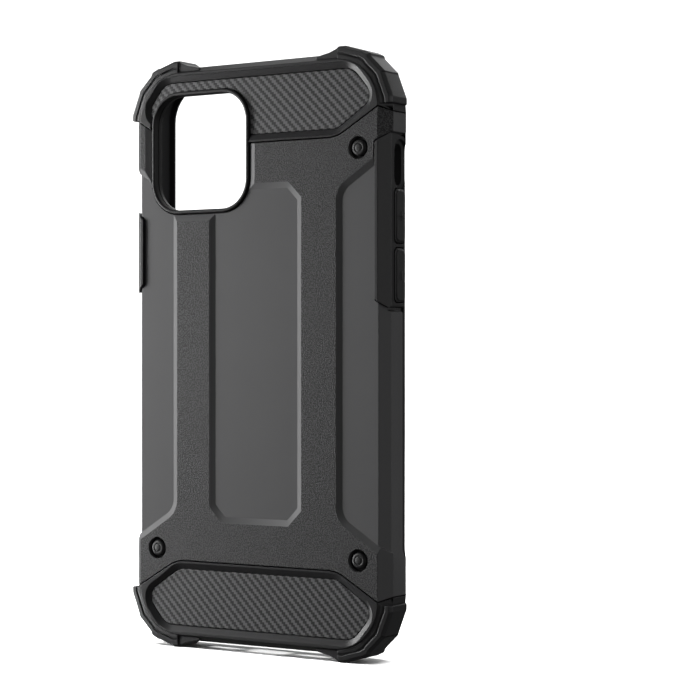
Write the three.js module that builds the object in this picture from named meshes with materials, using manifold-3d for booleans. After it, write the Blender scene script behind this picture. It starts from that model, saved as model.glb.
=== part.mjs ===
// A two-piece armour case for a 6.1-inch phone, in millimetres. A soft sleeve holds the phone, and a
// hard back plate with side wings slides onto the sleeve from behind. +X is the side of the volume
// buttons, -Y is the outer back, +Y is the open front, +Z is the top, and the origin is at the bottom.
import * as THREE from "three";
import { mergeVertices } from "three/addons/utils/BufferGeometryUtils.js";
import Module from "manifold-3d";

const wasm = await Module();
wasm.setup();

// Driving dimensions.
const phone = { width: 71.5, height: 146.7, depth: 7.65, corner: 11 };
const fit = 0.25; // play between the phone and the sleeve on each side
const gap = 0.3; // clearance between neighbouring pieces
const halfDepth = 6.1; // the case is 12.2 thick
const far = 100; // reach of a cutter that goes right through
const overrun = 0.2; // how far a cutter passes the face where another one starts
const cutterStart = 30; // inner end of a cutter that opens a side wall

// Half sizes of the sleeve's outer wall, and of the levels that stand above or below it.
const wall = { halfWidth: 40.2, halfHeight: 75.6, corner: 15 };
const smoothHalfWidth = 39.4; // recessed panels on the plate's wings
const islandHalfWidth = 39.8; // soft wall round the buttons
const panelDepth = 0.65; // how far the smooth panels lie below the textured field
const bevelRun = 1.6; // width of the slope between field and panel
const rampRun = 2.8; // rise along Z for each unit out, where the side wall steps out to the end zones

// Where the section across the case bends, as distances along Y.
const backBend = -3.2; // the back chamfer ends here
const frontBend = 2.9; // the front slope starts here
const chamfer = { x: 2.9, z: 1.6 }; // how far the back chamfer runs in
const frontSlope = { x: 2.8, z: 1.5 }; // how far the front slope runs in
const rimBevel = 0.4; // on the front rim's outer edge
const smoothBend = backBend + 0.3; // the smooth panels' chamfer ends here

// Phone pocket and the lip that holds the glass side.
const pocket = {
  halfWidth: phone.width / 2 + fit,
  halfHeight: phone.height / 2 + fit,
  corner: phone.corner + fit,
  floor: -2.75,
};
pocket.ceiling = pocket.floor + phone.depth + 0.05;
const lipReach = 1.7; // how far the lip covers the pocket's edge
const lipBevel = 0.6;

// Back plate.
const plateThickness = 1.4;
const wingInner = 38; // inner face of the side wings
const wingFront = frontBend - gap;
const plateInnerBend = { x: 36.2, y: backBend + 0.4 };

// Seam between the plate and the soft end caps.
const diagonalSlope = 0.637; // rise over run of every slanted line on the back
const seam = { z: 54.3, cornerX: 25.2, edgeX: 37.3, edgeZ: 61.4, sideZ: 60.15, fillet: 10 };

// Side notches in the plate, where the soft islands come through.
const notchX = 36.1;
const notchRun = 2.4; // how far a notch widens between the back face and the wall
const notchShoulder = 0.6; // the widening ends this far inside the wall
const volumeNotch = { low: 11, high: 55.3 };
const powerNotch = { low: 15.8, high: 38.4 };
const islandGroove = { depth: 1.2, halfWidth: 1.6, mouth: 0.8, back: backBend - 0.6 };
const islandRise = { start: -0.4, end: 0.2 }; // the step at an island's upper end, from its notch

// Recessed panels.
const centrePanel = { halfWidth: 12.9, halfHeight: 42.4, cut: 3.16 };
const sidePanel = { x: 26.6, cornerZ: 40.85, fillet: 4.6 };

// Camera opening, and the ring that lines it.
const camera = { x: -17.8, z: 53, halfWidth: 14.8, halfHeight: 15.1, corner: 7.6 };
const ringWidth = 0.95;
const ringBevel = 1.8; // slope on the plate round the ring
const ringLip = { outer: 0.3, inner: 0.6, depth: 0.3 }; // bevels at the top of the ring

// Heights along Y that the ring and the studs share.
const trimTop = -halfDepth + 0.1;
const ledge = -halfDepth + plateThickness + gap; // the sleeve's face under the plate
const ringLedge = ledge + 0.5; // the ring stands on this one
const seating = 0.2; // a trim piece stops this far short of what it stands on

// End-cap inlays: a hexagon, given by its corners [x, z, radius] on the +X side at the top.
const inlayHexagon = [
  [24.7, 56.9, 4],
  [35.6, 63.9, 3],
  [29.4, 71.4, 5],
];
const inlayDepth = 0.9; // below the cap's face
const inlayThickness = 0.8;
const inlayBevel = 1.5;

// Studs that locate the plate.
const stud = { x: 31.6, z: 51.5, hole: 2.85, head: 2.1, dimple: 1.1, stem: 1.2, stemLength: 1.05 };
const studEdge = { dimpleDepth: 0.35, dimpleRun: 0.25, land: 0.2, run: 0.35, drop: 0.45 };
const socketFloor = 0.45; // of the sleeve's skin left between a stud's socket and the pocket

// Push covers. Each is a raised pad in a window, with an inner flange and a nub over the phone's button.
const cover = { centreY: 0.4, halfY: 2.3, proud: 0.55, corner: 1.2, step: 0.4, flange: 0.8 };
const nub = { halfY: 0.9, halfZ: 2.4, corner: 0.6, inner: pocket.halfWidth + 0.15 };
const flangeBack = pocket.halfWidth + 1.5; // outer end of the recess behind a cover
const flange = { low: pocket.halfWidth + 0.55, high: flangeBack - gap };
const covers = [
  { name: "power_button", side: -1, centreZ: 26.9, halfZ: 7.6 },
  { name: "volume_up_button", side: 1, centreZ: 34.5, halfZ: 6.7 },
  { name: "volume_down_button", side: 1, centreZ: 19.7, halfZ: 6.7 },
];
const muteSlot = { centreZ: 47.4, halfZ: 5.2, centreY: 0.9, halfY: 1.9, flare: 1.1, flareDepth: 0.9 };

// Openings in the bottom wall, and the block that stiffens the rim in front of the charging port.
const portY = (pocket.floor + pocket.ceiling) / 2;
const chargingPort = { halfX: 6.5, halfY: 2.7 };
const speakerSlot = { x: 13.6, halfX: 4.9, halfY: 1.3 };
const rimBlock = { halfX: 4.1, taper: 0.9, proud: 1, root: 2, back: 4.3, front: 5.7 };

// Corner pads: the stepped outline of the top right pad, from its highest point round to the side,
// and the ramp on the sleeve that leads up to it.
const padOutline = [
  [25.4, 77.5],
  [26.9, 77.5],
  [32, 75.9],
  [32.3, 76],
  [34.3, 75.1],
  [34.5, 74.3],
  [38.5, 70.4],
  [38.5, 70],
  [40.9, 63.9],
  [40.9, 62.6],
];
const rampOutline = [
  [18.5, 75.2],
  [22.4, 76],
  [24.5, 76.8],
  [25.1, 77.5],
];
const padDepth = 1; // how far a pad sinks into the sleeve
const padRoot = 3; // how far the cutters and the ramps reach into the wall behind the outline
const padHalfDepth = 5.2;
const halfHeight = 77.5; // from the middle of the case to the pads' outermost face

// The slopes that a pad runs out in: half sizes of its largest outline at distances along Y.
const padLevels = [
  { y: -5.2, halfWidth: 40.2, halfHeight: 76.8, corner: 13.5 },
  { y: -4.6, halfWidth: 41.4, halfHeight: 78, corner: 14 },
  { y: 1.8, halfWidth: 41.4, halfHeight: 78, corner: 14 },
  { y: 5.2, halfWidth: 38.3, halfHeight: 74.8, corner: 13 },
];

// Outlines.

// A closed shape through corners [x, y, radius], with an arc in place of each corner that has a radius.
function filletedShape(corners) {
  const shape = new THREE.Shape();
  corners.forEach(([x, y, radius = 0], i) => {
    const corner = new THREE.Vector2(x, y);
    const before = new THREE.Vector2(...corners.at(i - 1).slice(0, 2)).sub(corner).normalize();
    const after = new THREE.Vector2(...corners[(i + 1) % corners.length].slice(0, 2))
      .sub(corner)
      .normalize();
    const half = Math.acos(THREE.MathUtils.clamp(before.dot(after), -1, 1)) / 2;
    const reach = radius / Math.tan(half);
    const start = corner.clone().addScaledVector(before, reach);
    if (i === 0) shape.moveTo(start.x, start.y);
    else shape.lineTo(start.x, start.y);
    if (!radius) return;
    const end = corner.clone().addScaledVector(after, reach);
    const centre = corner.clone().addScaledVector(
      before.clone().add(after).normalize(),
      radius / Math.sin(half),
    );
    const clockwise = before.cross(after) > 0;
    const angleTo = (p) => Math.atan2(p.y - centre.y, p.x - centre.x);
    shape.absarc(centre.x, centre.y, radius, angleTo(start), angleTo(end), clockwise);
  });
  shape.closePath();
  return shape;
}

function roundedRectangle(halfWidth, halfHeight, radius, x = 0, y = 0) {
  return filletedShape([
    [x - halfWidth, y - halfHeight, radius],
    [x + halfWidth, y - halfHeight, radius],
    [x + halfWidth, y + halfHeight, radius],
    [x - halfWidth, y + halfHeight, radius],
  ]);
}

// The sleeve's wall outline at an inset, and the camera opening's outline at an outset.
const wallOutline = (insetX, insetZ) =>
  roundedRectangle(
    wall.halfWidth - insetX,
    wall.halfHeight - insetZ,
    wall.corner - (insetX + insetZ) / 2,
  );
const cameraOutline = (outset) =>
  roundedRectangle(
    camera.halfWidth + outset,
    camera.halfHeight + outset,
    camera.corner + outset,
    camera.x,
    camera.z,
  );

// An octagon: a rectangle with its corners cut at 45 degrees, grown by an outset.
function octagon({ halfWidth, halfHeight: halfTall, cut }, outset) {
  const w = halfWidth + outset;
  const h = halfTall + outset;
  const c = cut + outset * (2 - Math.SQRT2);
  const corners = [];
  for (const [sx, sz] of [[1, -1], [1, 1], [-1, 1], [-1, -1]]) {
    const onSide = [sx * w, sz * (h - c)];
    const onEnd = [sx * (w - c), sz * h];
    corners.push(...(sx === sz ? [onSide, onEnd] : [onEnd, onSide]));
  }
  return filletedShape(corners);
}

// The recess on one wing, open to the side, grown by an outset.
function sideOutline(side, outset) {
  const x = sidePanel.x - outset;
  const rise = outset * Math.hypot(1, diagonalSlope) + (sidePanel.x - x) * -diagonalSlope;
  const cornerZ = sidePanel.cornerZ + rise;
  const outerZ = cornerZ + (far - x) * diagonalSlope;
  const corners = [
    [side * far, -outerZ],
    [side * far, outerZ],
    [side * x, cornerZ, sidePanel.fillet + outset],
    [side * x, -cornerZ, sidePanel.fillet + outset],
  ];
  return filletedShape(side > 0 ? corners : corners.reverse());
}

// The back plate's outline, grown by an outset, with one notch on each side.
function plateOutline(outset) {
  const slant = outset * Math.hypot(1, diagonalSlope);
  const notch = ({ low, high }, side) => [
    [side * far, high - outset],
    [side * (wall.halfWidth - notchShoulder), high - outset],
    [side * (notchX + outset), high - notchRun - outset],
    [side * (notchX + outset), low + notchRun + outset],
    [side * (wall.halfWidth - notchShoulder), low + outset],
    [side * far, low + outset],
  ];
  const end = (side, up) => [
    [side * far, up * (seam.sideZ + outset)],
    [side * wall.halfWidth, up * (seam.sideZ + outset)],
    [side * seam.edgeX, up * (seam.edgeZ + slant)],
    [side * seam.cornerX, up * (seam.z + outset), seam.fillet],
  ];
  return filletedShape([
    ...end(1, -1).reverse(),
    ...notch(volumeNotch, 1).reverse(),
    ...end(1, 1),
    ...end(-1, 1).reverse(),
    ...notch(powerNotch, -1),
    ...end(-1, -1),
  ]);
}

// An end cap's hexagon, grown by an outset. up is 1 for the top cap and -1 for the bottom cap.
function hexagon(up, outset) {
  const grow = [[0.45, -1], [1.2, 0], [0.45, 1]];
  const right = inlayHexagon.map(([x, z, radius], i) => [
    x + outset * grow[i][0],
    up * (z + outset * grow[i][1]),
    radius + outset,
  ]);
  const left = right.map(([x, z, radius]) => [-x, z, radius]).reverse();
  const corners = [...right, ...left];
  return filletedShape(up > 0 ? corners : corners.reverse());
}

// Solids.

function solid(geometry) {
  const bare = geometry.clone();
  bare.deleteAttribute("normal");
  bare.deleteAttribute("uv");
  const merged = mergeVertices(bare, 1e-4);
  return new wasm.Manifold(
    new wasm.Mesh({
      numProp: 3,
      vertProperties: merged.attributes.position.array,
      triVerts: new Uint32Array(merged.index.array),
    }),
  );
}

// An outline drawn in X and Z, extruded along Y.
function prismY(shape, low, high, curveSegments = 4) {
  const geometry = new THREE.ExtrudeGeometry(shape, {
    depth: high - low,
    bevelEnabled: false,
    curveSegments,
  });
  return solid(geometry.rotateX(Math.PI / 2).translate(0, high, 0));
}

// An outline drawn in X and Y, extruded along Z.
function prismZ(shape, low, high, curveSegments = 4) {
  const geometry = new THREE.ExtrudeGeometry(shape, {
    depth: high - low,
    bevelEnabled: false,
    curveSegments,
  });
  return solid(geometry.translate(0, 0, low));
}

// An outline drawn in Y and Z, extruded along X.
function prismX(shape, low, high, curveSegments = 3) {
  const geometry = new THREE.ExtrudeGeometry(shape, {
    depth: high - low,
    bevelEnabled: false,
    curveSegments,
  });
  return solid(geometry.applyMatrix4(
    new THREE.Matrix4().set(0, 0, 1, low, 1, 0, 0, 0, 0, 1, 0, 0, 0, 0, 0, 1),
  ));
}

// A body through outlines [distance along Y, shape], which all have the same number of points.
function loftY(levels, divisions = 4) {
  const rings = levels.map(([, shape]) => {
    const all = shape.getPoints(divisions);
    const points = all.filter((p, i) => p.distanceTo(all.at(i - 1)) > 1e-6);
    return THREE.ShapeUtils.isClockWise(points) ? points.reverse() : points;
  });
  const count = rings[0].length;
  const positions = rings.flatMap((ring, i) => ring.flatMap((p) => [p.x, levels[i][0], p.y]));
  const index = [];
  for (let i = 0; i + 1 < rings.length; i++) {
    for (let j = 0; j < count; j++) {
      const a = i * count + j;
      const b = i * count + ((j + 1) % count);
      index.push(a, a + count, b, b, a + count, b + count);
    }
  }
  const first = THREE.ShapeUtils.triangulateShape(rings[0], []);
  const top = THREE.ShapeUtils.triangulateShape(rings.at(-1), []);
  const offset = (rings.length - 1) * count;
  first.forEach(([a, b, c]) => index.push(a, b, c));
  top.forEach(([a, b, c]) => index.push(offset + a, offset + c, offset + b));
  const geometry = new THREE.BufferGeometry();
  geometry.setAttribute("position", new THREE.Float32BufferAttribute(positions, 3));
  geometry.setIndex(index);
  return solid(geometry);
}

// The sleeve's outer wall with its two slopes, moved in by an inset all round.
function wallBody(inset) {
  return loftY(
    [
      [-halfDepth, wallOutline(chamfer.x + inset, chamfer.z + inset)],
      [backBend, wallOutline(inset, inset)],
      [frontBend, wallOutline(inset, inset)],
      [halfDepth - rimBevel, wallOutline(frontSlope.x + inset, frontSlope.z + inset)],
      [halfDepth, wallOutline(frontSlope.x + rimBevel + inset, frontSlope.z + rimBevel + inset)],
    ],
    5,
  );
}

// The section inside a U-shaped skin, open to the front. frontY closes it off.
function coreSection(halfWidth, bendX, bendY, back, frontY) {
  return filletedShape([
    [-bendX, back],
    [bendX, back],
    [halfWidth, bendY],
    [halfWidth, frontY],
    [-halfWidth, frontY],
    [-halfWidth, bendY],
  ]);
}

// The pieces.

function backPlate() {
  const section = (halfWidth, bendX, bendY, back) =>
    prismZ(coreSection(halfWidth, bendX, bendY, back, wingFront), -far, far);
  const field = section(
    wall.halfWidth,
    wall.halfWidth - chamfer.x,
    backBend,
    -halfDepth,
  );
  const smooth = section(
    smoothHalfWidth,
    wall.halfWidth - chamfer.x - 0.1,
    smoothBend,
    -halfDepth + panelDepth,
  );
  const innerCore = prismZ(
    coreSection(
      wingInner,
      plateInnerBend.x,
      plateInnerBend.y,
      -halfDepth + plateThickness,
      far,
    ),
    -far,
    far,
  );
  const top = -halfDepth - panelDepth;
  const recess = -halfDepth + panelDepth;
  let plate = field.intersect(prismY(plateOutline(0), -far, far)).subtract(innerCore);
  plate = plate.subtract(
    loftY([[top, octagon(centrePanel, 2 * bevelRun)], [recess, octagon(centrePanel, 0)]]),
  );
  const aboveSmooth = (cutter) => cutter.subtract(smooth);
  for (const side of [-1, 1]) {
    const slanted = loftY([
      [top, sideOutline(side, 2 * bevelRun)],
      [recess, sideOutline(side, 0)],
      [far, sideOutline(side, 0)],
    ]);
    plate = plate.subtract(aboveSmooth(slanted)).subtract(sideRelief(side, smoothBend));
  }
  const ringClear = ringWidth + gap;
  plate = plate
    .subtract(loftY([
      [top, cameraOutline(ringClear + 2 * ringBevel)],
      [recess, cameraOutline(ringClear)],
    ]))
    .subtract(prismY(cameraOutline(ringClear), -far, far));
  for (const [x, z] of studPlaces()) {
    plate = plate.subtract(cylinderY(stud.hole, -far, 0, x, z));
  }
  return plate.subtract(islandGrooves());
}

// Everything outside the smooth panel's level on one side wall, from a depth to the front, with a
// slope at each end.
function sideRelief(side, back) {
  const lowZ = sidePanel.cornerZ + (smoothHalfWidth - sidePanel.x) * diagonalSlope;
  const reach = 3 * bevelRun; // how far past the wall the cutter goes, along the same slope
  const corners = [
    [side * smoothHalfWidth, -lowZ],
    [side * (smoothHalfWidth + reach), -lowZ - reach * rampRun],
    [side * (smoothHalfWidth + reach), lowZ + reach * rampRun],
    [side * smoothHalfWidth, lowZ],
  ];
  return prismY(filletedShape(side > 0 ? corners : corners.reverse()), back, far);
}

// V-grooves across the wall at the ends of the soft islands.
function islandGrooves() {
  const groove = (side, z) => {
    const corners = [
      [side * (islandHalfWidth - islandGroove.depth), z],
      [side * (islandHalfWidth + islandGroove.mouth), z - islandGroove.halfWidth],
      [side * (islandHalfWidth + islandGroove.mouth), z + islandGroove.halfWidth],
    ];
    const outline = filletedShape(side > 0 ? corners : corners.reverse());
    return prismY(outline, islandGroove.back, frontBend + overrun);
  };
  return groove(1, volumeNotch.low)
    .add(groove(-1, powerNotch.low))
    .add(groove(-1, powerNotch.high));
}

function cylinderY(radius, low, high, x, z, segments = 28) {
  const geometry = new THREE.CylinderGeometry(radius, radius, high - low, segments);
  return solid(geometry.translate(x, (low + high) / 2, z));
}

function studPlaces() {
  return [
    [stud.x, stud.z],
    [stud.x, -stud.z],
    [-stud.x, -stud.z],
  ];
}

function locatingStud() {
  const seat = ledge - seating;
  const floor = seat + stud.stemLength;
  const profile = [
    [0, trimTop + studEdge.dimpleDepth],
    [stud.dimple - studEdge.dimpleRun, trimTop + studEdge.dimpleDepth],
    [stud.dimple, trimTop + 0.05],
    [stud.dimple + studEdge.land, trimTop],
    [stud.head - studEdge.run, trimTop + 0.1],
    [stud.head, trimTop + studEdge.drop],
    [stud.head, seat],
    [stud.stem, seat],
    [stud.stem, floor],
    [0, floor],
  ].map(([r, y]) => new THREE.Vector2(r, y));
  return solid(new THREE.LatheGeometry(profile, 28));
}

function sleeve() {
  const spare = plateOutline(gap);
  const core = prismZ(
    coreSection(
      wingInner - gap,
      plateInnerBend.x - gap,
      plateInnerBend.y - 0.1,
      -halfDepth + plateThickness + gap,
      far,
    ),
    -far,
    far,
  );
  const frontRim = prismY(roundedRectangle(far, far, 1), frontBend, far);
  const plateSpace = prismY(spare, -far, far).subtract(core).subtract(frontRim);
  let body = wallBody(0).subtract(plateSpace);
  body = body.subtract(islandRelief()).subtract(islandGrooves());
  body = body.add(bottomRimBlock());
  for (const [sx, sz] of cornerSigns()) {
    body = body.add(cornerRamp(sx, sz)).subtract(padSpace(sx, sz));
  }
  for (const side of [-1, 1]) {
    body = body.subtract(sideRelief(side, frontBend));
  }
  body = body.subtract(phonePocket()).subtract(cameraCut());
  for (const up of [-1, 1]) {
    body = body.subtract(inlayPocket(up));
  }
  for (const [x, z] of studPlaces()) {
    body = body.subtract(cylinderY(stud.stem + gap, -far, pocket.floor - socketFloor, x, z, 20));
  }
  for (const piece of covers) {
    body = body.subtract(coverWindow(piece));
  }
  return body.subtract(muteOpening()).subtract(bottomOpenings());
}

// The islands' wall stands a little lower than the end caps' wall.
function islandRelief() {
  const slab = ({ low, high }, side) => {
    const inner = side * islandHalfWidth;
    const outer = side * far;
    const shape = filletedShape([
      [Math.min(inner, outer), low - islandGroove.halfWidth],
      [Math.max(inner, outer), low - islandGroove.halfWidth],
      [Math.max(inner, outer), high + islandRise.start],
      [Math.min(inner, outer), high + islandRise.end],
    ]);
    return prismY(shape, -far, frontBend + overrun);
  };
  return slab(volumeNotch, 1).add(slab(powerNotch, -1));
}

function phonePocket() {
  const room = prismY(
    roundedRectangle(pocket.halfWidth, pocket.halfHeight, pocket.corner),
    pocket.floor,
    pocket.ceiling,
    5,
  );
  const mouth = (outset) =>
    roundedRectangle(
      pocket.halfWidth - lipReach + outset,
      pocket.halfHeight - lipReach + outset,
      pocket.corner - lipReach + outset,
    );
  const opening = loftY(
    [
      [pocket.floor + 1, mouth(0)],
      [halfDepth - lipBevel, mouth(0)],
      [halfDepth + lipBevel, mouth(lipBevel * 2)],
    ],
    5,
  );
  return room.add(opening);
}

function cameraCut() {
  return prismY(cameraOutline(0), -far, 0).add(
    prismY(cameraOutline(ringWidth + gap), -far, ringLedge),
  );
}

function cameraRing() {
  const outer = loftY([
    [trimTop, cameraOutline(ringWidth - ringLip.outer)],
    [trimTop + ringLip.depth, cameraOutline(ringWidth)],
    [ringLedge - seating, cameraOutline(ringWidth)],
  ]);
  const hole = loftY([
    [trimTop - ringLip.depth, cameraOutline(ringLip.inner)],
    [trimTop + ringLip.depth, cameraOutline(0)],
    [far, cameraOutline(0)],
  ]);
  return outer.subtract(hole);
}

function inlayPocket(up) {
  const top = -halfDepth - inlayDepth;
  const surface = -halfDepth + inlayDepth;
  return loftY([
    [top, hexagon(up, gap + 2 * inlayBevel)],
    [surface, hexagon(up, gap)],
    [surface + inlayThickness + gap, hexagon(up, gap)],
  ]);
}

function inlay(up) {
  const surface = -halfDepth + inlayDepth;
  const plate = prismY(hexagon(up, 0), surface, surface + inlayThickness);
  return up > 0 ? plate.subtract(prismY(cameraOutline(ringWidth + gap), -far, far)) : plate;
}

// A cover's outline in Y and Z, grown by an outset.
const coverOutline = ({ centreZ, halfZ }, outset) =>
  roundedRectangle(
    cover.halfY + outset,
    halfZ + outset,
    cover.corner + outset / 2,
    cover.centreY,
    centreZ,
  );

// The flange behind a cover sticks out in front and behind, and stays short of the cover's ends.
const flangeOutline = ({ centreZ, halfZ }, outset) =>
  roundedRectangle(
    cover.halfY + cover.flange + outset,
    halfZ - cover.corner + outset,
    cover.corner,
    cover.centreY,
    centreZ,
  );

// Turns a solid built for the +X side round to the side it belongs on.
const onSide = (made, side) => (side > 0 ? made : made.mirror([1, 0, 0]));

function coverWindow(piece) {
  const window = prismX(coverOutline(piece, gap), cutterStart, far);
  const recess = prismX(flangeOutline(piece, gap), cutterStart, flangeBack);
  return onSide(window.add(recess), piece.side);
}

function pushCover(piece) {
  const outer = islandHalfWidth + cover.proud;
  const cap = prismX(coverOutline(piece, 0), flange.low, outer - cover.step)
    .add(prismX(coverOutline(piece, -cover.step), outer - cover.step - overrun, outer));
  const rim = prismX(flangeOutline(piece, 0), flange.low, flange.high);
  const presser = prismX(
    roundedRectangle(nub.halfY, nub.halfZ, nub.corner, portY, piece.centreZ),
    nub.inner,
    flange.high,
  );
  return onSide(cap.add(rim).add(presser), piece.side);
}

function muteOpening() {
  const outline = (outset) =>
    roundedRectangle(
      muteSlot.halfY + outset,
      muteSlot.halfZ + outset,
      muteSlot.halfY + outset - 0.05,
      muteSlot.centreY,
      muteSlot.centreZ,
    );
  const slot = prismX(outline(0), cutterStart, far);
  const flareFloor = islandHalfWidth - muteSlot.flareDepth;
  return slot.add(prismX(outline(muteSlot.flare), flareFloor, far));
}

function bottomOpenings() {
  const slot = (x, halfX, halfY) =>
    prismZ(
      roundedRectangle(halfX, halfY, halfY - 0.05, x, portY),
      -far,
      -pocket.halfHeight + 1,
    );
  return slot(0, chargingPort.halfX, chargingPort.halfY)
    .add(slot(-speakerSlot.x, speakerSlot.halfX, speakerSlot.halfY))
    .add(slot(speakerSlot.x, speakerSlot.halfX, speakerSlot.halfY));
}

function bottomRimBlock() {
  const low = -wall.halfHeight - rimBlock.proud;
  const high = -wall.halfHeight + rimBlock.root;
  const block = filletedShape([
    [-rimBlock.halfX + rimBlock.taper, low],
    [rimBlock.halfX - rimBlock.taper, low],
    [rimBlock.halfX, low + rimBlock.taper],
    [rimBlock.halfX, high],
    [-rimBlock.halfX, high],
    [-rimBlock.halfX, low + rimBlock.taper],
  ]);
  return prismY(block, rimBlock.back, rimBlock.front);
}

function cornerSigns() {
  return [[-1, 1], [1, 1], [-1, -1], [1, -1]];
}

// A pad's outline mirrored into its own corner, and closed by a right angle on the inside.
function padShape(sx, sz, outset) {
  const [first] = padOutline;
  const last = padOutline.at(-1);
  const points = [
    [first[0] - outset, last[1] - outset],
    [first[0] - outset, first[1]],
    ...padOutline.slice(1, -1),
    [last[0], last[1] - outset],
  ].map(([x, z]) => [sx * x, sz * z]);
  return filletedShape(points);
}

// The room a pad takes in the sleeve's wall.
function padSpace(sx, sz) {
  const block = prismY(padShape(sx, sz, gap), -padHalfDepth - gap, padHalfDepth + gap);
  return block.add(outsideOfPad(sx, sz)).subtract(wallBody(padDepth + gap));
}

// The strip outside the pad's outline, so that the whole wall there is cut away.
function outsideOfPad(sx, sz) {
  const [first] = padOutline;
  const last = padOutline.at(-1);
  const corners = [
    [first[0] - gap, wall.halfHeight - padRoot],
    [wall.halfWidth - padRoot, last[1] - gap],
    [wall.halfWidth + padRoot, last[1] - gap],
    [wall.halfWidth + padRoot, wall.halfHeight + padRoot],
    [first[0] - gap, wall.halfHeight + padRoot],
  ].map(([x, z]) => [sx * x, sz * z]);
  return prismY(filletedShape(corners), -padHalfDepth - gap, padHalfDepth + gap);
}

function padSlopes() {
  const levels = padLevels.map((level) => [
    level.y,
    roundedRectangle(level.halfWidth, level.halfHeight, level.corner),
  ]);
  return loftY(levels, 5);
}

function cornerPad(sx, sz) {
  const block = prismY(padShape(sx, sz, 0), -far, far);
  return block.intersect(padSlopes()).subtract(wallBody(padDepth));
}

function cornerRamp(sx, sz) {
  const root = wall.halfHeight - padRoot;
  const outline = [[rampOutline[0][0], root], ...rampOutline, [rampOutline.at(-1)[0], root]];
  const block = prismY(filletedShape(outline.map(([x, z]) => [sx * x, sz * z])), -far, far);
  return block.intersect(padSlopes());
}

// Materials and assembly.

const softBlack = () =>
  new THREE.MeshStandardMaterial({ color: 0x2b2b2b, roughness: 0.55, metalness: 0 });
const hardGrey = () =>
  new THREE.MeshStandardMaterial({ color: 0x4c4c4c, roughness: 0.5, metalness: 0 });
const wovenGrey = () =>
  new THREE.MeshStandardMaterial({ color: 0x5a5a5a, roughness: 0.4, metalness: 0 });

const phoneCase = new THREE.Group();
phoneCase.position.z = halfHeight;

function addPiece(name, made, material, x = 0, z = 0) {
  const mesh = made.getMesh();
  const geometry = new THREE.BufferGeometry();
  geometry.setAttribute("position", new THREE.BufferAttribute(mesh.vertProperties, 3));
  geometry.setIndex(new THREE.BufferAttribute(mesh.triVerts, 1));
  geometry.computeVertexNormals();
  const piece = new THREE.Mesh(geometry, material);
  piece.name = name;
  piece.position.set(x, 0, z);
  phoneCase.add(piece);
}

addPiece("sleeve", sleeve(), softBlack());
addPiece("back_plate", backPlate(), hardGrey());
addPiece("camera_ring", cameraRing(), softBlack());
addPiece("top_inlay", inlay(1), wovenGrey());
addPiece("bottom_inlay", inlay(-1), wovenGrey());
for (const piece of covers) {
  addPiece(piece.name, pushCover(piece), softBlack());
}
const studNames = ["top_right_stud", "bottom_right_stud", "bottom_left_stud"];
studPlaces().forEach(([x, z], i) => {
  addPiece(studNames[i], locatingStud(), softBlack(), x, z);
});
for (const [sx, sz] of cornerSigns()) {
  const name = (sz > 0 ? "top" : "bottom") + (sx > 0 ? "_right" : "_left") + "_corner_pad";
  addPiece(name, cornerPad(sx, sz), softBlack());
}

export default phoneCase;
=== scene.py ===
import math

import bmesh
import bpy
import numpy as np
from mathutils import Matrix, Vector


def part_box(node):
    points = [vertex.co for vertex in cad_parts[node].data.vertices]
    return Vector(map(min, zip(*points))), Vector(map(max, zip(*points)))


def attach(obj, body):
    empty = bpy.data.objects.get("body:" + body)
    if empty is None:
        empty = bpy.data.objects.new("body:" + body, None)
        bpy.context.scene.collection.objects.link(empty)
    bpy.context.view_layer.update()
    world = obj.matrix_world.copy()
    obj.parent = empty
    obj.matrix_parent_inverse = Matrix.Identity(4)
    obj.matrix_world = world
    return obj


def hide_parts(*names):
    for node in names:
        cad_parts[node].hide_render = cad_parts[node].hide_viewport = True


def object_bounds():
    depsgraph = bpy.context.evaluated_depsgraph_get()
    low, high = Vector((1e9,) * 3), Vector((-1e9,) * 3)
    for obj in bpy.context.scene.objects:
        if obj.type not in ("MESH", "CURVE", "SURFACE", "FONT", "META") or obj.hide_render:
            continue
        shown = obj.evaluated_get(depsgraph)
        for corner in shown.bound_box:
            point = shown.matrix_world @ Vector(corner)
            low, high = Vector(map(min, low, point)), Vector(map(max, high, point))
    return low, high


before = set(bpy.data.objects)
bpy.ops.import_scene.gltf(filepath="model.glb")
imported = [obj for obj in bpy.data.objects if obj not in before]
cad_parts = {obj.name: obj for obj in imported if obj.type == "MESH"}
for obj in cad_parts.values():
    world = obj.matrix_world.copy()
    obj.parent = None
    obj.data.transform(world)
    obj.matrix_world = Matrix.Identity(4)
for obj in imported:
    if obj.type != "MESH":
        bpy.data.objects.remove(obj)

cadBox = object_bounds()
mm = 0.001
middle = (cadBox[0].z + cadBox[1].z) / 2 / mm  # height of the case's centre, in millimetres
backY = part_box("back_plate")[0].y / mm  # the plate's textured face


# Turns an sRGB hex value into the linear colour that the shader wants.
def toLinear(hexValue):
    channels = [int(hexValue[i:i + 2], 16) / 255 for i in (1, 3, 5)]
    return [c / 12.92 if c <= 0.04045 else ((c + 0.055) / 1.055) ** 2.4 for c in channels] + [1]


# Adds one node, sets its own settings and its inputs, and links what is an output of another node.
def addNode(tree, kind, inputs=None, **settings):
    node = tree.nodes.new(kind)
    for key, value in settings.items():
        setattr(node, key, value)
    for key, value in (inputs or {}).items():
        if isinstance(value, bpy.types.NodeSocket):
            tree.links.new(value, node.inputs[key])
        else:
            node.inputs[key].default_value = value
    return node


# Starts a material: returns it with its tree, its shader and the Object coordinates.
def startMaterial(name, look):
    material = bpy.data.materials.new(name)
    material.use_nodes = True
    tree = material.node_tree
    shader = tree.nodes["Principled BSDF"]
    shader.inputs["Roughness"].default_value = look["roughness"]
    shader.inputs["IOR"].default_value = look["ior"]
    place = addNode(tree, "ShaderNodeTexCoord").outputs["Object"]
    return material, tree, shader, place


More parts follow.
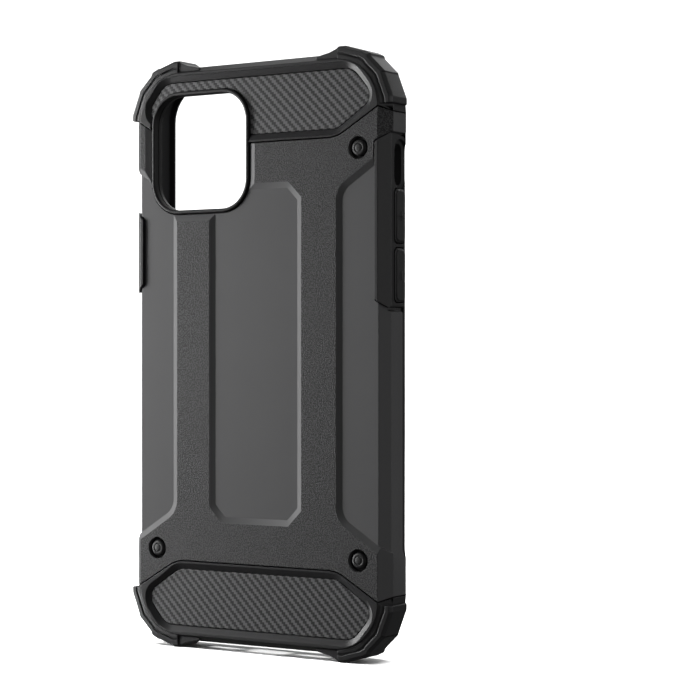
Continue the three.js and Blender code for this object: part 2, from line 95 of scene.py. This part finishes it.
# Gives the shader a colour between two values, following a pattern from 0 to 1.
def colourBy(tree, shader, pattern, look):
    mix = addNode(tree, "ShaderNodeMix",
                  {0: pattern, 6: toLinear(look["dark"]), 7: toLinear(look["light"])},
                  data_type="RGBA")
    tree.links.new(mix.outputs[2], shader.inputs["Base Color"])


# Gives the shader a fine relief: a height from 0 to 1, times the look's depth in metres.
def reliefBy(tree, shader, height, look):
    bump = addNode(tree, "ShaderNodeBump",
                   {"Height": height, "Strength": look["relief"], "Distance": look["depth"]})
    tree.links.new(bump.outputs["Normal"], shader.inputs["Normal"])


# A noise pattern at a scale in waves per metre, in the object's own coordinates.
def noiseAt(tree, place, scale, detail):
    noise = addNode(tree, "ShaderNodeTexNoise", {"Vector": place, "Scale": scale, "Detail": detail})
    return noise.outputs["Fac"]


# Injection-moulded TPU: a soft black plastic whose matt skin has a very fine grain and wide, faint
# cloudiness where the melt cooled unevenly, so that light spreads softly over it.
def mouldedTpu(name, look):
    material, tree, shader, place = startMaterial(name, look)
    grain = noiseAt(tree, place, look["grainsPerMetre"], 2)
    colourBy(tree, shader, noiseAt(tree, place, look["cloudsPerMetre"], 3), look)
    rough = addNode(tree, "ShaderNodeMapRange",
                    {"Value": grain, "To Min": look["roughness"] - look["roughSpread"],
                     "To Max": look["roughness"] + look["roughSpread"]})
    tree.links.new(rough.outputs["Result"], shader.inputs["Roughness"])
    reliefBy(tree, shader, grain, look)
    return material


# Polycarbonate from a spark-eroded mould: fine pits break up the light into a mottle. The real pits
# are near 0.15 mm across, and they are drawn twice as wide so that they show.
def sparkErodedPolycarbonate(look):
    material, tree, shader, place = startMaterial("sparkErodedPolycarbonate", look)
    pits = noiseAt(tree, place, look["pitsPerMetre"], 0)
    spread = addNode(tree, "ShaderNodeMapRange",
                     {"Value": pits, "From Min": look["darkUpTo"], "From Max": look["lightFrom"]})
    colourBy(tree, shader, spread.outputs["Result"], look)
    reliefBy(tree, shader, pits, look)
    return material


# Polycarbonate from a finely blasted mould: an even satin, a little darker in some places.
def satinPolycarbonate(look):
    material, tree, shader, place = startMaterial("satinPolycarbonate", look)
    colourBy(tree, shader, noiseAt(tree, place, look["cloudsPerMetre"], 2), look)
    reliefBy(tree, shader, noiseAt(tree, place, look["grainsPerMetre"], 1), look)
    return material


# Film moulded over a woven pattern. Its yarns are all one dark fibre, and where an upright yarn is
# on top it is painted paler: a painted sheen that the level yarns don't get. The yarns themselves
# are in the piece's shape, and its attribute says which one is on top.
def twillFilm(look):
    material, tree, shader, place = startMaterial("twillFilm", look)
    yarnSheen = addNode(tree, "ShaderNodeAttribute", attribute_name="yarnSheen")
    # Painted sheen: the paler colour goes where an upright yarn is on top, the darker where a level
    # one is.
    colourBy(tree, shader, yarnSheen.outputs["Fac"], look)
    reliefBy(tree, shader, noiseAt(tree, place, look["fibresPerMetre"], 2), look)
    return material


# What all the TPU pieces share; below, each gets its own tone and polish. Depths are in metres.
tpu = {"ior": 1.5, "cloudsPerMetre": 90, "grainsPerMetre": 4200, "roughSpread": 0.06,
       "relief": 0.25, "depth": 0.00004}
looks = {
    "sleeve": {**tpu, "dark": "#343435", "light": "#3c3c3d", "roughness": 0.38},
    "trim": {**tpu, "dark": "#171718", "light": "#1d1d1e", "roughness": 0.5},
    "pad": {**tpu, "dark": "#323233", "light": "#3a3a3b", "roughness": 0.42},
    "cover": {**tpu, "dark": "#313132", "light": "#39393a", "roughness": 0.42},
    "field": {"dark": "#020203", "light": "#474748", "roughness": 0.6, "ior": 1.58,
              "pitsPerMetre": 3100, "darkUpTo": 0.42, "lightFrom": 0.58,
              "relief": 0.8, "depth": 0.00012},
    "panel": {"dark": "#5a5a5b", "light": "#606061", "roughness": 0.6, "ior": 1.58,
              "cloudsPerMetre": 60, "grainsPerMetre": 5200, "relief": 0.12, "depth": 0.00003},
    # The twill's light tone is the painted sheen of the upright yarns; its dark tone is the level
    # yarns.
    "twill": {"dark": "#303031", "light": "#7a7a7b", "roughness": 0.42, "ior": 1.5,
              "fibresPerMetre": 2600, "relief": 0.15, "depth": 0.00004},
}
sleeveTpu = mouldedTpu("mouldedTpuSleeve", looks["sleeve"])
trimTpu = mouldedTpu("mouldedTpuTrim", looks["trim"])
padTpu = mouldedTpu("mouldedTpuPad", looks["pad"])
coverTpu = mouldedTpu("mouldedTpuCover", looks["cover"])
fieldPlastic = sparkErodedPolycarbonate(looks["field"])
panelPlastic = satinPolycarbonate(looks["panel"])
inlayFilm = twillFilm(looks["twill"])
print("materials made")


# Puts a finished mesh in the scene: it rides on a body and stands for CAD nodes.
def addPiece(name, mesh, body, replaced, materials):
    piece = bpy.data.objects.new(name, mesh)
    bpy.context.scene.collection.objects.link(piece)
    for material in materials:
        mesh.materials.append(material)
    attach(piece, body)
    if replaced:
        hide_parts(replaced)
    return piece


# A mesh from vertices in millimetres round the case's centre, smooth except over edges sharper
# than an angle in degrees.
def makeMesh(name, points, faces, sharp):
    mesh = bpy.data.meshes.new(name)
    placed = (points.reshape(-1, 3) + [0, 0, middle]) * mm
    mesh.from_pydata(placed.tolist(), [], faces)
    mesh.validate()
    smoothOver(mesh, sharp)
    return mesh


# Shades a mesh smoothly, except over edges sharper than an angle in degrees.
def smoothOver(mesh, sharp):
    mesh.polygons.foreach_set("use_smooth", np.ones(len(mesh.polygons), bool))
    mesh.set_sharp_from_angle(angle=math.radians(sharp))


# Quads over a grid of rows by columns. A wrapped direction joins its last line to its first.
def gridFaces(rows, columns, wrapRows=False, wrapColumns=False):
    row = np.arange(rows if wrapRows else rows - 1)[:, None]
    column = np.arange(columns if wrapColumns else columns - 1)[None, :]
    here = row * columns
    after = (row + 1) % rows * columns
    nextColumn = (column + 1) % columns
    quads = np.stack(np.broadcast_arrays(
        here + column, here + nextColumn, after + nextColumn, after + column), -1)
    return quads.reshape(-1, 4).tolist()


# A closed outline through corners [across, up, radius]. Each corner is an arc that touches both of
# its edges: its centre is radius / sin(half angle) along the bisector, and its points are the
# even turn between the two touching points.
def filletedOutline(corners, steps):
    corners = np.asarray(corners, float)
    place = corners[:, :2]
    radius = corners[:, 2:]
    before = np.roll(place, 1, 0) - place
    after = np.roll(place, -1, 0) - place
    before /= np.linalg.norm(before, axis=1, keepdims=True)
    after /= np.linalg.norm(after, axis=1, keepdims=True)
    half = np.arccos(np.clip((before * after).sum(1, keepdims=True), -1, 1)) / 2
    bisector = before + after
    bisector /= np.linalg.norm(bisector, axis=1, keepdims=True)
    centre = place + bisector * radius / np.sin(half)
    start = (place + before * radius / np.tan(half) - centre)[:, None]
    end = (place + after * radius / np.tan(half) - centre)[:, None]
    arc = (math.pi - 2 * half)[:, None]
    t = np.linspace(0, 1, steps)[None, :, None]
    points = centre[:, None] + (start * np.sin((1 - t) * arc) + end * np.sin(t * arc)) / np.sin(arc)
    return points.reshape(-1, 2)


# A rounded rectangle's outline round the origin, from its half sizes and its corner radius.
def roundedRectangle(halfAcross, halfUp, radius, steps):
    return filletedOutline([[-halfAcross, -halfUp, radius], [halfAcross, -halfUp, radius],
                            [halfAcross, halfUp, radius], [-halfAcross, halfUp, radius]], steps)


# Which bends of a node's copy count as edges, in degrees. The facets of a curve need larger angles.
bends = {"curve": 24, "curveAlongX": 40, "real": 8,
         "alongX": 0.98, "alongY": 0.05,  # the part of an edge's length that lies along X, or Y
         "innerReach": 0.037,  # metres: nearer the middle, edges along X count as real bends
         "merge": 0.000002, "flat": 0.005,  # metres between merged points, radians between facets
         "segments": 2}


# A node's own shape, with its loose triangles merged and joined in pairs where they are flat.
def plainCopy(node, name):
    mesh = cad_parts[node].data.copy()
    mesh.name = name
    mesh.materials.clear()
    work = bmesh.new()
    work.from_mesh(mesh)
    bmesh.ops.remove_doubles(work, verts=work.verts, dist=bends["merge"])
    bmesh.ops.join_triangles(work, faces=work.faces, angle_face_threshold=bends["flat"],
                             angle_shape_threshold=math.pi)
    work.to_mesh(mesh)
    work.free()
    markEdges(mesh)
    return mesh


# Marks the edges that get rounded. An edge's angle is the one between its two faces' normals. The
# facets of a curve meet along X or Y, so such edges count only where they are sharp. The other ones
# are real bends, and count from a few degrees, so that the shallow slopes keep their outlines.
def markEdges(mesh):
    loopEdge = np.zeros(len(mesh.loops), np.int32)
    mesh.loops.foreach_get("edge_index", loopEdge)
    corners = np.zeros(len(mesh.polygons), np.int32)
    mesh.polygons.foreach_get("loop_total", corners)
    faceOfLoop = np.repeat(np.arange(len(corners)), corners)
    normals = np.zeros(len(corners) * 3)
    mesh.polygons.foreach_get("normal", normals)
    normals = normals.reshape(-1, 3)
    first = np.unique(loopEdge, return_index=True)[1]
    last = len(loopEdge) - 1 - np.unique(loopEdge[::-1], return_index=True)[1]
    cosine = (normals[faceOfLoop[first]] * normals[faceOfLoop[last]]).sum(1)
    angle = np.degrees(np.arccos(np.clip(cosine, -1, 1)))
    places = np.zeros(len(mesh.vertices) * 3)
    mesh.vertices.foreach_get("co", places)
    pairs = np.zeros(len(mesh.edges) * 2, np.int32)
    mesh.edges.foreach_get("vertices", pairs)
    ends = places.reshape(-1, 3)[pairs.reshape(-1, 2)]
    along = np.abs(ends[:, 1] - ends[:, 0])
    along /= np.linalg.norm(along, axis=1, keepdims=True)
    alongX = along[:, 0] > bends["alongX"]
    limit = np.where(along[:, 1] > bends["alongY"], bends["curve"], bends["real"])
    limit = np.where(alongX, bends["curveAlongX"], limit)
    limit = np.where(alongX & (np.abs(ends[:, 0, 0]) < bends["innerReach"]), bends["real"], limit)
    marked = angle > limit
    mesh.polygons.foreach_set("use_smooth", np.ones(len(mesh.polygons), bool))
    mesh.edges.foreach_set("use_edge_sharp", marked)
    mesh.attributes.new("bevel_weight_edge", "FLOAT", "EDGE").data.foreach_set("value", marked * 1.0)


# Rounds the marked edges, or every edge sharper than an angle in degrees where one is given.
def roundEdges(piece, radius, angle=None):
    bevel = piece.modifiers.new("roundedEdges", "BEVEL")
    bevel.width = radius * mm
    bevel.segments = bends["segments"]
    bevel.limit_method = "ANGLE" if angle else "WEIGHT"
    bevel.angle_limit = math.radians(angle or 0)
    bevel.use_clamp_overlap = False
    bevel.loop_slide = False
    bevel.harden_normals = True


sleeve = {"edgeRadius": 0.12}
softSleeve = addPiece("softSleeve", plainCopy("sleeve", "softSleeve"), "sleeve",
                      "sleeve", [sleeveTpu])
roundEdges(softSleeve, sleeve["edgeRadius"])
print("sleeve made")

# The chamfer's reach is |x| - y on it. Depth and tilt say how near a face has to be to count.
plate = {"edgeRadius": 0.12, "chamferReach": 43.15, "depth": 0.1, "facesBack": -0.99, "tilt": 0.03}


# The textured faces are the ones at the very back, and the top zone's chamfers at 45 degrees.
def findTexturedFaces(mesh):
    centres = np.zeros(len(mesh.polygons) * 3)
    normals = np.zeros(len(mesh.polygons) * 3)
    mesh.polygons.foreach_get("center", centres)
    mesh.polygons.foreach_get("normal", normals)
    x, y, z = (centres.reshape(-1, 3) / mm).T
    normalX, normalY = normals.reshape(-1, 3)[:, :2].T
    onBack = (normalY < plate["facesBack"]) & (y < backY + plate["depth"])
    diagonal = np.abs(np.abs(normalX) - math.sqrt(0.5)) < plate["tilt"]
    onChamfer = diagonal & (np.abs(x) - y > plate["chamferReach"]) & (z > middle)
    return onBack | onChamfer


plateMesh = plainCopy("back_plate", "hardPlate")
hardPlate = addPiece("hardPlate", plateMesh, "back_plate", "back_plate",
                     [panelPlastic, fieldPlastic])
plateMesh.polygons.foreach_set("material_index", findTexturedFaces(plateMesh).astype(np.int32))
roundEdges(hardPlate, plate["edgeRadius"])
print("plate made")

twill = {"yarn": 0.6, "depth": 0.07, "columns": 420}  # yarn width and relief, in mm
# The hexagon's corners on the right, with their radii. Rows are the parts of the way up a column:
# even ones over the face, and closer ones at both edges, where the face falls away. The slant is
# how much shorter the way to a sloping edge is than the way straight up.
inlay = {"face": -5.2, "thickness": 0.8, "edge": 0.22, "end": 34.3, "cameraGap": 1.05,
         "hexagon": [[24.79, 56.7, 4.2], [35.84, 63.9, 3.2], [29.49, 71.6, 5.2]],
         "cornerSteps": 12, "edgeRows": [0, 0.002, 0.006], "faceRows": (0.012, 0.988, 82),
         "sharp": 50, "slant": 0.85}
opening = {"x": -17.8, "z": 53, "halfWidth": 14.8, "halfHeight": 15.1, "corner": 7.6}


# Height of a 2/2 twill between -1 and 1, and 1 where the upright yarn is on top. Each upright yarn
# rises as the sine of its way up, a quarter further on for each neighbour, each level yarn as the
# sine of its way across, and each is rounded across itself by a sine.
def twillHeight(x, z):
    across = x / twill["yarn"]
    up = z / twill["yarn"]
    column = np.floor(across)
    row = np.floor(up)
    upright = np.sin((column + up) * math.pi / 2) * np.sin((across - column) * math.pi) ** 0.5
    level = -np.sin((across + row) * math.pi / 2) * np.sin((up - row) * math.pi) ** 0.5
    return np.maximum(upright, level), (upright > level).astype(float)


# The lower and the upper edge of the hexagon at each x: its filleted outline's two halves.
def hexagonEdges(x, up):
    right = np.array(inlay["hexagon"])
    left = right[::-1] * [-1, 1, 1]
    outline = filletedOutline(np.concatenate([right, left]), inlay["cornerSteps"])
    nose = inlay["hexagon"][1][1]
    lower = outline[outline[:, 1] <= nose]
    upper = outline[outline[:, 1] >= nose]
    lower = lower[np.argsort(lower[:, 0])]
    upper = upper[np.argsort(upper[:, 0])]
    low = np.interp(x, *lower.T)
    high = np.interp(x, *upper.T)
    return (low, high) if up > 0 else (-high, -low)


# The upper edge of the gap round the camera ring: a rounded rectangle's top, then straight down.
def cameraEdge(x):
    half = opening["halfWidth"] + inlay["cameraGap"]
    radius = opening["corner"] + inlay["cameraGap"]
    top = opening["z"] + opening["halfHeight"] + inlay["cameraGap"]
    past = np.clip(np.abs(x - opening["x"]) - (half - radius), 0, radius)
    edge = top - radius + np.sqrt(radius ** 2 - past ** 2)
    return np.where(np.abs(x - opening["x"]) < half, edge, 0)


# An inlay: x runs along the columns, and each column's z runs from the lower to the upper edge. The
# face falls by a quarter circle near its edges and carries the twill. A skirt closes it behind.
def inlayMesh(name, up):
    reach = inlay["end"]
    x = np.linspace(-reach, reach, twill["columns"])
    low, high = hexagonEdges(x, up)
    if up > 0:
        low = np.maximum(low, cameraEdge(x))
    edge = np.array(inlay["edgeRows"])
    part = np.concatenate([edge, np.linspace(*inlay["faceRows"]), 1 - edge[::-1]])[:, None]
    z = low + (high - low) * part
    x = np.broadcast_to(x, z.shape)
    fromEdge = np.minimum(np.minimum(z - low, high - z) * inlay["slant"], reach - np.abs(x))
    fall = inlay["edge"] - np.clip(fromEdge, 0, inlay["edge"])
    drop = inlay["edge"] - np.sqrt(inlay["edge"] ** 2 - fall ** 2)
    # The second value says where an upright yarn is on top, which is where the painted sheen goes.
    height, yarnSheen = twillHeight(x, z)
    relief = (1 - height) / 2 * twill["depth"] * (fall == 0)
    face = np.stack([x, inlay["face"] + drop + relief, z], -1)
    rows, columns = z.shape
    number = np.arange(rows * columns).reshape(rows, columns)
    rim = np.concatenate([number[0], number[1:, -1], number[-1, -2::-1], number[-2:0:-1, 0]])
    back = face.reshape(-1, 3)[rim] * [1, 0, 1] + [0, inlay["face"] + inlay["thickness"], 0]
    behind = rows * columns + np.arange(len(rim))
    skirt = np.stack([rim, behind, np.roll(behind, -1), np.roll(rim, -1)], -1)
    faces = gridFaces(rows, columns) + skirt.tolist() + [behind.tolist()]
    mesh = makeMesh(name, np.concatenate([face.reshape(-1, 3), back]), faces, inlay["sharp"])
    tone = np.concatenate([yarnSheen.ravel(), np.zeros(len(rim))])
    mesh.attributes.new("yarnSheen", "FLOAT", "POINT").data.foreach_set("value", tone)
    return mesh


for name, node, up in [("topTwillInlay", "top_inlay", 1), ("bottomTwillInlay", "bottom_inlay", -1)]:
    addPiece(name, inlayMesh(name, up), "sleeve", node, [inlayFilm])
print("inlays made")

# The ring's section: how far out from the opening, and the distance along Y.
ring = {"section": [[0, -4.3], [0, -5.7], [0.1, -5.9], [0.28, -5.98], [0.62, -6], [0.82, -5.95],
                    [0.95, -5.78], [0.95, -4.3]], "cornerSteps": 14, "sharp": 40}


# The ring's section carried round the opening: each section point is the opening's outline grown by
# its distance out.
def ringMesh(name):
    section = np.array(ring["section"])
    loops = np.stack([
        roundedRectangle(opening["halfWidth"] + out, opening["halfHeight"] + out,
                         opening["corner"] + out, ring["cornerSteps"]) for out in section[:, 0]])
    points = np.stack([loops[..., 0] + opening["x"],
                       np.broadcast_to(section[:, 1:], loops.shape[:2]),
                       loops[..., 1] + opening["z"]], -1)
    faces = gridFaces(*points.shape[:2], wrapRows=True, wrapColumns=True)
    return makeMesh(name, points, faces, ring["sharp"])


addPiece("cameraTrim", ringMesh("cameraTrim"), "sleeve", "camera_ring", [trimTpu])

# A stud's profile: radius and distance along Y, from the dimple over the head to the stem's end.
stud = {"profile": [[0.05, -5.98], [0.85, -5.98], [0.95, -5.94], [1.02, -5.88], [1.1, -5.88],
                    [1.17, -5.94], [1.3, -5.97], [1.7, -5.92], [1.95, -5.75], [2.1, -5.45],
                    [2.1, -4.6],
                    [1.2, -4.6], [1.2, -3.55], [0.05, -3.55]],
        "places": {"topRightStud": ("top_right_stud", 31.6, 51.5),
                   "bottomRightStud": ("bottom_right_stud", 31.6, -51.5),
                   "bottomLeftStud": ("bottom_left_stud", -31.6, -51.5)},
        "steps": 48, "sharp": 50}


# A turned body: each profile point makes a circle of its radius round the stud's own axis.
def studMesh(name, x, z):
    radius, y = np.array(stud["profile"]).T[:, :, None]
    angle = np.arange(stud["steps"]) * 2 * math.pi / stud["steps"]
    points = np.stack(np.broadcast_arrays(
        x + radius * np.cos(angle), y, z + radius * np.sin(angle)), -1)
    rows, columns = points.shape[:2]
    first = list(range(columns))[::-1]
    last = list(range((rows - 1) * columns, rows * columns))
    faces = gridFaces(rows, columns, wrapColumns=True) + [first, last]
    return makeMesh(name, points, faces, stud["sharp"])


for name, (node, x, z) in stud["places"].items():
    addPiece(name, studMesh(name, x, z), "sleeve", node, [trimTpu])
print("ring and studs made")

# Corner pads: the stepped outline of the top right pad, and its section from back to front as
# [distance along Y, how far it stands out from the wall to the outline, lift off the wall]. The dip
# near the back is the groove that runs round the pad. The slopes say how the wall draws in.
pad = {
    "outline": [[25.1, 77.5], [26.9, 77.5], [32, 75.9], [32.3, 76], [34.3, 75.1], [34.5, 74.3],
                [38.5, 70.4], [38.5, 70], [40.9, 63.9], [40.9, 62.35]],
    "section": [[-5.2, 0, -1], [-5.75, 0, 0], [-5.68, 0.27, 0], [-5.3, 0.36, 0], [-5.66, 0.45, 0],
                [-5.56, 0.82, 0], [-4.6, 1, 0],
                [1.8, 1, 0], [2.2, 0.97, 0], [4.9, 0.1, 0.15], [5.1, 0, 0.12], [5.2, 0, -0.1],
                [5.2, 0, -1]],
    "centre": [25.2, 60.6], "corner": 15, "edgeRadius": 0.22, "sharp": 20, "roundFrom": 14,
    "backSlope": {"start": -3.2, "run": 2.9, "across": 2.9, "up": 1.6},
    "frontSlope": {"start": 2.9, "run": 2.8, "across": 2.8, "up": 1.5},
}


# A pad is its section carried round the stepped outline. Every section point lies between the
# sleeve's wall, an arc that draws in as the wall slopes away, and the outline, by its own share.
def padMesh(name, side, up):
    path = np.array(pad["outline"])[None]
    y, share, lift = np.array(pad["section"]).T[:, :, None]
    centre = np.array(pad["centre"])
    angle = np.arctan2(path[..., 1] - centre[1], path[..., 0] - centre[0])
    back = np.clip((pad["backSlope"]["start"] - y) / pad["backSlope"]["run"], 0, 1)
    front = np.clip((y - pad["frontSlope"]["start"]) / pad["frontSlope"]["run"], 0, 1)
    inX = back * pad["backSlope"]["across"] + front * pad["frontSlope"]["across"]
    inZ = back * pad["backSlope"]["up"] + front * pad["frontSlope"]["up"]
    wallX = centre[0] + (pad["corner"] - inX + lift) * np.cos(angle)
    wallZ = centre[1] + (pad["corner"] - inZ + lift) * np.sin(angle)
    x = wallX + (path[..., 0] - wallX) * share
    z = wallZ + (path[..., 1] - wallZ) * share
    points = np.stack([side * x, np.broadcast_to(y, x.shape), up * z], -1)
    if side * up < 0:
        points = points[::-1]
    rows, columns = x.shape
    start = (np.arange(rows) * columns).tolist()
    end = (np.arange(rows) * columns + columns - 1).tolist()[::-1]
    faces = gridFaces(rows, columns, wrapRows=True) + [start, end]
    return makeMesh(name, points, faces, pad["sharp"])


for name, side, up in [("topLeftPad", -1, 1), ("topRightPad", 1, 1), ("bottomLeftPad", -1, -1),
                       ("bottomRightPad", 1, -1)]:
    node = ("top" if up > 0 else "bottom") + ("_right" if side > 0 else "_left") + "_corner_pad"
    piece = addPiece(name, padMesh(name, side, up), "sleeve", node, [padTpu])
    roundEdges(piece, pad["edgeRadius"], pad["roundFrom"])
print("pads made")

# A mark stands this high on its cover's face, and starts this far below it.
cover = {"edgeRadius": 0.2, "face": 40.35, "markHeight": 0.1, "markRoot": 0.1, "markBevel": 0.06,
         "markSharp": 40}
covers = {"powerCover": "power_button", "volumeUpCover": "volume_up_button",
          "volumeDownCover": "volume_down_button"}
for name, node in covers.items():
    piece = addPiece(name, plainCopy(node, name), node, node, [coverTpu])
    roundEdges(piece, cover["edgeRadius"])


# A raised mark on a cover, from its own outline in Y and Z: rings of the outline at the root, below
# the edge and at the top, the last one drawn in by the bevel.
def markMesh(name, outlines, side):
    points = []
    faces = []
    for outer, inner in outlines:
        for outline, out in [(outer, cover["face"] - cover["markRoot"]),
                             (outer, cover["face"] + cover["markHeight"] / 2),
                             (inner, cover["face"] + cover["markHeight"])]:
            points.append(np.column_stack([np.full(len(outline), side * out), outline]))
        count = len(outer)
        first = sum(len(p) for p in points) - 3 * count
        quads = np.array(gridFaces(3, count, wrapColumns=True)) + first
        ends = [list(range(first, first + count))[::-1],
                list(range(first + 2 * count, first + 3 * count))]
        made = quads.tolist() + ends
        faces += made if side > 0 else [face[::-1] for face in made]
    return makeMesh(name, np.concatenate(points), faces, cover["markSharp"])


# Marks: half the stroke's width and half its length, the bar's half length on the power cover,
# where they stand along Y, and the covers' middles along Z.
mark = {"halfStroke": 0.28, "halfLength": 1.25, "halfBar": 2.2, "cornerGap": 0.02, "steps": 8,
        "y": 0.4, "volumeUp": 34.4, "volumeDown": 19.7, "power": 26.9}


# A bar with round ends at a height, as its outline and the same outline drawn in by the bevel.
def bar(z, halfY, halfZ):
    short = min(halfY, halfZ) - mark["cornerGap"]
    return [roundedRectangle(halfY - inset, halfZ - inset, short - inset, mark["steps"])
            + [mark["y"], z] for inset in (0, cover["markBevel"])]


upright = (mark["halfStroke"], mark["halfLength"])
marks = [("plusMark", "volume_up_button", 1,
          [bar(mark["volumeUp"], *upright), bar(mark["volumeUp"], *upright[::-1])]),
         ("minusMark", "volume_down_button", 1, [bar(mark["volumeDown"], *upright)]),
         ("powerMark", "power_button", -1,
          [bar(mark["power"], mark["halfStroke"], mark["halfBar"])])]
for name, body, side, outlines in marks:
    addPiece(name, markMesh(name, outlines, side), body, None, [trimTpu])
print("covers made")

# Places and sizes in metres, powers in watts. Every lamp faces the case, but for the paper's own.
studio = {"floorRadius": 1.5, "sweep": 0.4, "wallTop": 2.6, "hub": 0.001, "sweepSteps": 24,
          "turnSteps": 96, "sharp": 60, "paperColour": "#f4f4f4", "paperRoughness": 0.9,
          "paperShine": 0.1, "airBrightness": 0.055,
          "lamps": {
              "leftSoftbox": {"place": (-0.42, -0.17, 0.07), "size": (0.16, 0.4), "power": 3.0},
              "backStrip": {"place": (-0.80, 0.07, 0.12), "size": (0.12, 0.45), "power": 0.8},
              "frontSoftbox": {"place": (-0.50, -0.85, 0.30), "size": (0.4, 0.6), "power": 0.3},
              "rightStrip": {"place": (0.67, -0.43, 0.15), "size": (0.15, 0.6), "power": 0.3},
              "rightSoftbox": {"place": (0.80, 0.17, 0.20), "size": (0.3, 0.6), "power": 1.2},
              "openSideSoftbox": {"place": (-0.20, 0.80, 0.45), "size": (0.9, 0.8), "power": 2.8},
              "topSoftbox": {"place": (-0.10, 0, 0.90), "size": (0.6, 0.4), "power": 0.8},
              "paperLamp": {"place": (0, -0.2, 1.6), "size": (2.5, 1.5), "power": 160,
                            "aim": (0, 0.6, 0)}}}


# Floor and walls in one turned sheet: flat, then a quarter circle, then upright, all the way round.
# It sends no light back to the case, so that the slopes turned away from the lamps stay dark.
def makeBackdrop():
    turn = np.linspace(0, math.pi / 2, studio["sweepSteps"])
    radius = np.concatenate([[studio["hub"]],
                             studio["floorRadius"] + studio["sweep"] * np.sin(turn),
                             [studio["floorRadius"] + studio["sweep"]]])[:, None]
    z = np.concatenate([[0], studio["sweep"] * (1 - np.cos(turn)), [studio["wallTop"]]])[:, None]
    angle = np.arange(studio["turnSteps"]) * 2 * math.pi / studio["turnSteps"]
    grid = np.stack(np.broadcast_arrays(radius * np.cos(angle), radius * np.sin(angle), z), -1)
    mesh = bpy.data.meshes.new("paleBackdrop")
    faces = gridFaces(len(radius), len(angle), wrapColumns=True) + [list(range(len(angle)))]
    mesh.from_pydata(grid.reshape(-1, 3).tolist(), [], faces)
    smoothOver(mesh, studio["sharp"])
    backdrop = bpy.data.objects.new("paleBackdrop", mesh)
    bpy.context.scene.collection.objects.link(backdrop)
    backdrop.visible_diffuse = False
    backdrop.visible_glossy = False
    material = bpy.data.materials.new("mattWhitePaper")
    material.use_nodes = True
    shader = material.node_tree.nodes["Principled BSDF"]
    shader.inputs["Base Color"].default_value = toLinear(studio["paperColour"])
    shader.inputs["Roughness"].default_value = studio["paperRoughness"]
    shader.inputs["Specular IOR Level"].default_value = studio["paperShine"]
    mesh.materials.append(material)
    return backdrop


# A rectangular lamp that faces a point: the case's centre, unless another one is given.
def addSoftbox(name, place, size, power, aim=(0, 0, middle * mm)):
    light = bpy.data.lights.new(name, "AREA")
    light.shape = "RECTANGLE"
    light.size, light.size_y = size
    light.energy = power
    lamp = bpy.data.objects.new(name, light)
    lamp.location = place
    lamp.rotation_euler = (Vector(aim) - lamp.location).to_track_quat("-Z", "Y").to_euler()
    bpy.context.scene.collection.objects.link(lamp)
    return lamp


backdrop = makeBackdrop()
lamps = {name: addSoftbox(name, **lamp) for name, lamp in studio["lamps"].items()}
onlyPaper = bpy.data.collections.new("onlyPaper")  # what the paper's own lamp shines on
onlyPaper.objects.link(backdrop)
lamps["paperLamp"].light_linking.receiver_collection = onlyPaper
world = bpy.data.worlds.new("studioAir")
world.use_nodes = True
air = world.node_tree.nodes["Background"]
air.inputs["Color"].default_value = (1, 1, 1, 1)
air.inputs["Strength"].default_value = studio["airBrightness"]
bpy.context.scene.world = world
bpy.context.scene.view_settings.view_transform = "Standard"

# The camera's place from the plate's face and the case's centre, in millimetres, and its turn.
view = {"turn": 32.68, "x": 309.3, "y": -436.6, "rise": 1.03, "lens": 106.8, "nearest": 0.01}
sight = bpy.data.cameras.new("camera")
sight.lens = view["lens"]
sight.clip_start = view["nearest"]
camera = bpy.data.objects.new("camera", sight)
camera.location = (view["x"] * mm, (view["y"] + backY) * mm, (middle + view["rise"]) * mm)
camera.rotation_euler = (math.pi / 2, 0, math.radians(view["turn"]))
bpy.context.scene.collection.objects.link(camera)
bpy.context.scene.camera = camera
print("studio made")
